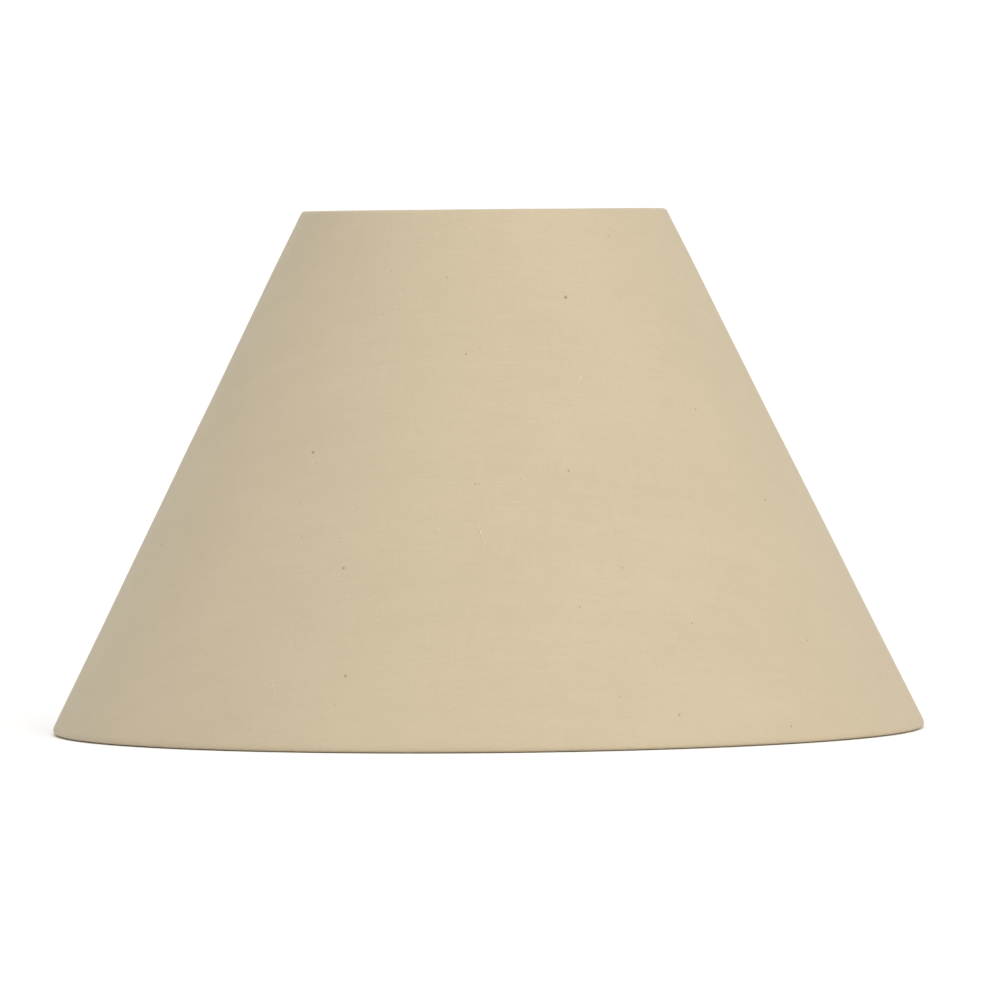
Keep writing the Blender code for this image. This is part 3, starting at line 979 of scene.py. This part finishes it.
class SHADE_OT_lint(bpy.types.Operator):
    """Lay a few stray fibres on the cover, held by the nap"""

    bl_idname = "shade.lint"
    bl_label = "Stray fibres"

    def execute(self, context):
        shape = ShadeShape(context.scene.shade_sizes)
        chance = random.Random(12)
        finish = finish_named("pale_fibre", fibre_finish)
        verts, faces = [], []
        lay_fibre(shape, verts, faces, 0.572, FRONT - 0.045, 1.22, 0.22, 0.0142, 0.00015)
        for _ in range(14):
            lay_fibre(
                shape,
                verts,
                faces,
                share=chance.uniform(0.08, 0.9),
                angle=chance.uniform(0, FULL),
                heading=chance.uniform(0, math.pi),
                bend=chance.uniform(-0.6, 0.6),
                length=chance.uniform(0.0025, 0.008),
                radius=chance.uniform(0.00005, 0.00010),
            )
        mesh_object("lint_fibres", verts, faces, "shade", finish)
        return {"FINISHED"}


def fibre_finish():
    """A pale stray fibre with a little shine."""
    f = Finish("pale_fibre", Sheen_Weight=0.3)
    wave = f.noise(f.place(), 900.0, 2.0)
    colour = f.blend(f.span(wave, 0.3, 0.7), (0.66, 0.58, 0.44), (0.76, 0.68, 0.54))
    return f.wear(colour, f.span(wave, 0.3, 0.7, 0.5, 0.65))


class SHADE_OT_lining(bpy.types.Operator):
    """Roll the white plastic sheet inside the cover, its ends butted under the lap"""

    bl_idname = "shade.lining"
    bl_label = "White lining"

    def execute(self, context):
        scene = context.scene
        shape = ShadeShape(scene.shade_sizes)
        finish = finish_named("white_lining", lining_finish, scene.shade_colours)
        path = []
        for row in range(LINING_ROWS + 1):
            share = row / LINING_ROWS
            point = PathPoint(shape.side(share, shape.liner_depth), shape.outward, 0.0, 0.0)
            point.flat = shape.apex + share * shape.slant
            path.append(point)
        half = shape.sizes.lap / 2
        lines = [Line(SEAM, -half + BUTT_GAP / 2), Line(SEAM, -half / 2), Line(SEAM, 0.0)]
        lines += round_lines(shape, shape.sizes.lap + LAP_CLIMB + LAP_MARGIN, SEAM_STEP)
        for shift in (-shape.sizes.lap, -half * 1.5, -half - BUTT_GAP / 2):
            lines.append(Line(SEAM + FULL, shift))
        piece = strip(
            "plastic_lining",
            path,
            lines,
            shape.sizes.liner,
            shape,
            finish,
        )
        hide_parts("liner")
        return {"FINISHED"}


class SHADE_OT_rings(bpy.types.Operator):
    """Finish the two wire rings and the seam tape, which keep their CAD shape"""

    bl_idname = "shade.rings"
    bl_label = "Wire rings and seam tape"

    def execute(self, context):
        colours = context.scene.shade_colours
        for node in ("top_ring", "bottom_ring"):
            repaint(node, finish_named("drawn_steel_wire", steel_finish, colours))
        repaint("seam_tape", finish_named("tissue_tape", tape_finish, colours))
        return {"FINISHED"}


def fitter_levels(shape):
    """Heights and distances of the fitter, read from the frame."""
    lug_low, lug_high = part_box("pivot_lug_right")
    ring_low, ring_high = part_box("holder_ring")
    arm_low, arm_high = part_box("gimbal_arm_right")
    joint = next(j for j in frame["joints"] if j["name"] == "gimbal_turn")
    return {
        "pivot": joint["pos_m"][2],
        "lug_in": lug_low.x,
        "lug_out": lug_high.x,
        "lug_half": lug_high.y,
        "lug_top": lug_high.z,
        "ring_top": ring_high.z,
        "ring_low": ring_low.z,
        "ring_outer": ring_high.x,
        "head_out": arm_high.x,
        "head_radius": arm_high.y,
        "arm_low": arm_low.z + shape.wire_radius,
        "arm_end": arm_low.x,
    }


class SHADE_OT_lugs(bpy.types.Operator):
    """Press the two pivot lugs and weld them inside the top ring"""

    bl_idname = "shade.lugs"
    bl_label = "Pivot lugs"

    def execute(self, context):
        scene = context.scene
        shape = ShadeShape(scene.shade_sizes)
        fitter = fitter_levels(shape)
        finish = powder_coat(scene)
        for name, mirror in (("left", -1), ("right", 1)):
            piece = self.lug("lug_" + name, mirror, shape, fitter, finish)
            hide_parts("pivot_lug_" + name)
        return {"FINISHED"}

    def lug(self, name, mirror, shape, fitter, finish):
        half, pivot = fitter["lug_half"], fitter["pivot"]
        top = fitter["lug_top"] - pivot
        hole = shape.wire_radius + PIN_PLAY
        count, soft = LUG_SIDES, LUG_SOFT
        rings = []
        # Outline rings from the hole's edge over one face, round the rim and back.
        profile = (
            ("hole", 0.0, soft),
            ("hole", soft, 0.0),
            ("edge", soft, 0.0),
            ("edge", 0.3 * soft, 0.3 * soft),
            ("edge", 0.0, soft),
        )
        front = fitter["lug_in"]
        back = fitter["lug_out"]
        sides = [(kind, inset, front + depth) for kind, inset, depth in profile]
        sides += [(kind, inset, back - depth) for kind, inset, depth in reversed(profile)]
        for kind, inset, x in sides:
            ring = []
            for n in range(count):
                turn = FULL * n / count
                across, up = math.cos(turn), math.sin(turn)
                if kind == "hole":
                    reach = hole + inset
                    ring.append((mirror * x, across * reach, pivot + up * reach))
                    continue
                reach = half
                if up > 1e-6:
                    # A square top with its two corners rounded off.
                    squared = (abs(across) / half) ** LUG_SQUARE + (up / top) ** LUG_SQUARE
                    reach = squared ** (-1 / LUG_SQUARE)
                reach -= inset
                ring.append((mirror * x, across * reach, pivot + up * reach))
            rings.append(ring)
        verts = [place for ring in rings for place in ring]
        faces = []
        for k in range(len(rings)):
            band(faces, k * count, (k + 1) % len(rings) * count, count)
        # Weld beads where the lug meets the wire, one at each side.
        for seed, side in ((1.3 + mirror, -1), (4.1 + mirror, 1)):
            low = shape.top.wire.y - BEAD_SINK
            centre = (mirror * (back + BEAD_SINK), side * half * 0.82, low)
            bead(verts, faces, centre, LUG_BEAD, seed)
        piece = mesh_object(name, verts, faces, "shade", finish)
        near_hole = []
        for place in verts:
            away = math.hypot(place[1], place[2] - pivot)
            near_hole.append(1.0 if away < hole * 1.5 else 0.25)
        write_value(piece.data, "rubbed", near_hole)
        return piece


class SHADE_OT_arms(bpy.types.Operator):
    """Bend the two gimbal arms, peen their pins and weld them under the holder ring"""

    bl_idname = "shade.arms"
    bl_label = "Gimbal arms"

    def execute(self, context):
        scene = context.scene
        shape = ShadeShape(scene.shade_sizes)
        fitter = fitter_levels(shape)
        finish = powder_coat(scene)
        for name, mirror in (("left", -1), ("right", 1)):
            piece = self.arm("arm_" + name, mirror, shape, fitter, finish)
            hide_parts("gimbal_arm_" + name)
        return {"FINISHED"}

    def arm(self, name, mirror, shape, fitter, finish):
        wire, pivot, low = shape.wire_radius, fitter["pivot"], fitter["arm_low"]
        head_out = fitter["head_out"]
        head_in = head_out - HEAD_THICKNESS
        inward = Vector((-1.0, 0.0))
        sections = []
        # The peened head: a low dome.
        for share in (0.12, 0.45, 0.72, 0.9, 1.0):
            depth = HEAD_DOME * (1 - math.sqrt(1 - share * share)) if share < 1 else 0.0006
            point = Vector((head_out - depth, pivot))
            sections.append((point, inward, fitter["head_radius"] * share, 1.0))
        sections.append((Vector((head_in, pivot)), inward, fitter["head_radius"] * 0.97, 1.0))
        sections.append((Vector((head_in, pivot)), inward, wire, 1.0))
        corners = [
            Vector((head_in, pivot)),
            Vector((fitter["lug_in"] - ARM_STRAIGHT, pivot)),
            Vector((fitter["ring_outer"] + ARM_BEND, low)),
            Vector((fitter["arm_end"], low)),
        ]
        line = bent_line(corners, ARM_BEND, 12)
        straight = []
        for (start, way), (stop, way_after) in zip(line, line[1:]):
            pieces = max(1, int((stop - start).length / ARM_STEP))
            for n in range(pieces):
                straight.append((start.lerp(stop, n / pieces), way.lerp(way_after, n / pieces)))
        straight.append(line[-1])
        for point, way in straight:
            # The end under the ring is pressed a little flat.
            flat = 0
            if point.y < low + 1e-4:
                flat = ease((fitter["ring_outer"] - point.x) / FLAT_RUN)
            lowered = Vector((point.x, point.y + FLAT_DROP * flat))
            sections.append((lowered, way.normalized(), wire, 1 - FLAT_SQUEEZE * flat))
        last, way, radius, squash = sections[-1]
        sections.append((last + way * 0.00012, way, radius * 0.86, squash))
        verts, faces = swept(sections, ARM_SIDES, mirror)
        rubbed = []
        for place in verts:
            at_pin = abs(place[0]) > fitter["lug_in"] - 0.001
            rubbed.append(1.0 if at_pin else 0.15)
        for seed, side in ((2.2 + mirror, -1), (5.7 + mirror, 1)):
            middle = (fitter["arm_end"] + fitter["ring_outer"]) / 2
            centre = (mirror * middle, side * wire * 0.85, fitter["ring_low"] - 0.0006)
            before = len(verts)
            bead(verts, faces, centre, ARM_BEAD, seed)
            rubbed += [0.3] * (len(verts) - before)
        piece = mesh_object(name, verts, faces, "gimbal", finish)
        write_value(piece.data, "rubbed", rubbed)
        return piece


class SHADE_OT_holder_ring(bpy.types.Operator):
    """Stamp the flat steel ring that takes a large lampholder"""

    bl_idname = "shade.holder_ring"
    bl_label = "Holder ring"

    def execute(self, context):
        scene = context.scene
        finish = powder_coat(scene)
        low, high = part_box("holder_ring")
        hole, stamped = HOLDER_HOLE, high.z - HOLDER_LIP_DEPTH
        outline = [
            (hole, low.z),
            (high.x, low.z),
            (high.x, high.z),
            (hole + HOLDER_LIP, high.z),
            (hole + HOLDER_LIP / 2, stamped),
            (hole, stamped),
        ]
        piece = turned(
            "stamped_holder_ring",
            softened(outline, 0.0003),
            TURNED_SIDES,
            "gimbal",
            finish,
        )
        rubbed = []
        for vert in piece.data.vertices:
            at_hole = math.hypot(vert.co.x, vert.co.y) < hole + 0.0005
            rubbed.append(0.8 if at_hole else 0.25)
        write_value(piece.data, "rubbed", rubbed)
        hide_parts("holder_ring")
        return {"FINISHED"}


class SHADE_OT_reducer(bpy.types.Operator):
    """Mould the plastic reducer that steps the hole down for a small lampholder"""

    bl_idname = "shade.reducer"
    bl_label = "Reducer"

    def execute(self, context):
        scene = context.scene
        finish = finish_named("moulded_white_plastic", plastic_finish, scene.shade_colours)
        low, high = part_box("reducer_ring")
        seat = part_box("holder_ring")[1].z + SEAT_GAP
        hole, plug, flange = REDUCER_HOLE, REDUCER_PLUG, high.x
        bore, web = plug - REDUCER_WALL, low.z + REDUCER_WEB
        collar, collar_top = hole + REDUCER_COLLAR, web + REDUCER_COLLAR_RISE
        outline = [
            (hole, low.z),
            (plug, low.z),
            (plug, seat),
            (flange, seat),
            (flange, high.z),
            (bore, high.z),
            (bore, web),
            (collar, web),
            (collar, collar_top),
            (hole, collar_top),
        ]
        piece = turned(
            "reducer",
            softened(outline, 0.00025),
            TURNED_SIDES,
            "reducer",
            finish,
        )
        self.add_ribs(piece, hole + 0.0010, bore + 0.0002, web, high.z - 0.0012)
        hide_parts("reducer_ring")
        return {"FINISHED"}

    def add_ribs(self, piece, inner, outer, low, high):
        """Six thin stiffening ribs between the small hole's collar and the outer wall."""
        work = bmesh.new()
        work.from_mesh(piece.data)
        for n in range(RIB_COUNT):
            turn = FULL * (n + 0.5) / RIB_COUNT
            made = bmesh.ops.create_cube(work, size=1.0)
            for vert in made["verts"]:
                at_collar = vert.co.x < 0
                along = inner if at_collar else outer
                top = low + REDUCER_COLLAR_RISE if at_collar else high
                height = top if vert.co.z > 0 else low - 0.0002
                beside = RIB_HALF if vert.co.y > 0 else -RIB_HALF
                x = along * math.cos(turn) - beside * math.sin(turn)
                y = along * math.sin(turn) + beside * math.cos(turn)
                vert.co = Vector((x, y, height))
            edges = list({edge for vert in made["verts"] for edge in vert.link_edges})
            bmesh.ops.bevel(work, geom=edges, offset=0.00012, segments=2, affect="EDGES")
        bmesh.ops.recalc_face_normals(work, faces=work.faces)
        work.to_mesh(piece.data)
        work.free()
        piece.data.shade_smooth()
        piece.data.set_sharp_from_angle(angle=SHARP)


class SHADE_OT_stage(bpy.types.Operator):
    """Set up the pale floor, the soft lights and the camera"""

    bl_idname = "shade.stage"
    bl_label = "Stage"

    def execute(self, context):
        scene = context.scene
        self.floor(scene)
        self.room(scene)
        self.lights(scene)
        self.camera(scene)
        scene.view_settings.view_transform = "Standard"
        scene.view_settings.look = "None"
        scene.view_settings.exposure = 0.0
        scene.view_settings.gamma = 1.0
        return {"FINISHED"}

    def floor(self, scene):
        """A wide round sheet of paper, just under the shade."""
        finish = finish_named("seamless_paper", floor_finish, scene.shade_colours)
        count, radii, below = 96, (0.1, 0.3, 0.8, 2.0, 5.0, 12.0, 30.0), -0.0002
        verts, faces = [(0.0, 0.0, below)], []
        for radius in radii:
            verts += [polar(radius, below, FULL * n / count) for n in range(count)]
        for n in range(count):
            faces.append([0, 1 + n, 1 + (n + 1) % count])
        for k in range(len(radii) - 1):
            for n in range(count):
                m = (n + 1) % count
                a, b = 1 + k * count, 1 + (k + 1) * count
                faces.append([a + n, b + n, b + m, a + m])
        mesh = bpy.data.meshes.new("floor")
        mesh.from_pydata(verts, [], faces)
        mesh.materials.append(finish)
        floor = bpy.data.objects.new("floor", mesh)
        scene.collection.objects.link(floor)

    def room(self, scene):
        """Plain even walls, white low down, where they are the backdrop."""
        stage = scene.shade_stage
        world = bpy.data.worlds.new("studio")
        world.use_nodes = True
        tree = world.node_tree
        sky = tree.nodes["Background"]
        way = tree.nodes.new("ShaderNodeTexCoord").outputs["Generated"]
        parts = tree.nodes.new("ShaderNodeSeparateXYZ")
        tree.links.new(way, parts.inputs[0])
        height = tree.nodes.new("ShaderNodeMath")
        height.operation = "ABSOLUTE"
        tree.links.new(parts.outputs["Z"], height.inputs[0])
        rise = tree.nodes.new("ShaderNodeMapRange")
        rise.interpolation_type = "SMOOTHSTEP"
        tree.links.new(height.outputs[0], rise.inputs["Value"])
        fade = [math.sin(math.radians(angle)) for angle in BACKDROP_FADE]
        for socket, value in zip(
            ("From Min", "From Max", "To Min", "To Max"), (*fade, stage.wall, stage.room)
        ):
            rise.inputs[socket].default_value = value
        tree.links.new(rise.outputs[0], sky.inputs["Strength"])
        sky.inputs["Color"].default_value = (1.0, 1.0, 1.0, 1.0)
        scene.world = world

    def lights(self, scene):
        """Wide soft lights, so far off that they fall evenly over shade and floor."""
        stage = scene.shade_stage
        warm = (1.0, 0.90, 0.78)
        for name, azimuth, elevation, spread, power, colour in (
            ("key", 33, 24, 30, stage.key, warm),
            ("fill", -15, 20, 70, stage.fill, warm),
            ("ceiling", 0, 90, 110, stage.ceiling, (1.0, 1.0, 1.0)),
        ):
            lamp = bpy.data.lights.new(name, "SUN")
            lamp.angle = math.radians(spread)
            lamp.energy = power
            lamp.color = colour
            holder = bpy.data.objects.new(name + "_light", lamp)
            turn = FRONT + math.radians(azimuth)
            lift = math.radians(elevation)
            way = Vector(polar(math.cos(lift), math.sin(lift), turn))
            holder.location = way * LIGHT_AWAY
            holder.rotation_euler = way.to_track_quat("Z", "Y").to_euler()
            scene.collection.objects.link(holder)

    def camera(self, scene):
        stage = scene.shade_stage
        lens = bpy.data.cameras.new("camera")
        lens.lens = stage.lens
        lens.sensor_width = 36.0
        lens.clip_start = 0.1
        lens.clip_end = 100.0
        view = bpy.data.objects.new("camera", lens)
        view.rotation_mode = "XYZ"
        view.location = (0.0, -stage.distance, stage.eye_height)
        upright = Vector((math.pi / 2 - stage.pitch, 0.0, -stage.yaw))
        view.rotation_euler = upright
        turn = view.rotation_euler.to_matrix()
        rolled = turn @ Matrix.Rotation(stage.roll, 3, "Z")
        view.rotation_euler = rolled.to_euler("XYZ")
        scene.collection.objects.link(view)
        scene.camera = view


class SHADE_PT_panel(bpy.types.Panel):
    """The shade's sizes, colours and build steps"""

    bl_idname = "SHADE_PT_panel"
    bl_label = "Cone lamp shade"
    bl_space_type = "VIEW_3D"
    bl_region_type = "UI"
    bl_category = "Shade"

    def draw(self, context):
        layout = self.layout
        for title, group in (
            ("Sizes", context.scene.shade_sizes),
            ("Colours", context.scene.shade_colours),
            ("Stage", context.scene.shade_stage),
        ):
            box = layout.box()
            box.label(text=title)
            for key in group.__annotations__:
                box.prop(group, key)
        column = layout.column(align=True)
        for step in STEPS:
            column.operator(step.bl_idname)


STEPS = (
    SHADE_OT_lining,
    SHADE_OT_cover,
    SHADE_OT_lint,
    SHADE_OT_rings,
    SHADE_OT_lugs,
    SHADE_OT_arms,
    SHADE_OT_holder_ring,
    SHADE_OT_reducer,
    SHADE_OT_stage,
)
GROUPS = (
    ("shade_sizes", ShadeSizes),
    ("shade_colours", ShadeColours),
    ("shade_stage", StageSettings),
)


def register():
    for _, group in GROUPS:
        bpy.utils.register_class(group)
    for step in STEPS:
        bpy.utils.register_class(step)
    bpy.utils.register_class(SHADE_PT_panel)
    for name, group in GROUPS:
        setattr(bpy.types.Scene, name, bpy.props.PointerProperty(type=group))


def unregister():
    for name, _ in GROUPS:
        delattr(bpy.types.Scene, name)
    bpy.utils.unregister_class(SHADE_PT_panel)
    for step in reversed(STEPS):
        bpy.utils.unregister_class(step)
    for _, group in reversed(GROUPS):
        bpy.utils.unregister_class(group)


def main():
    register()
    for step in STEPS:
        group, name = step.bl_idname.split(".")
        getattr(getattr(bpy.ops, group), name)()


if __name__ == "__main__":
    main()
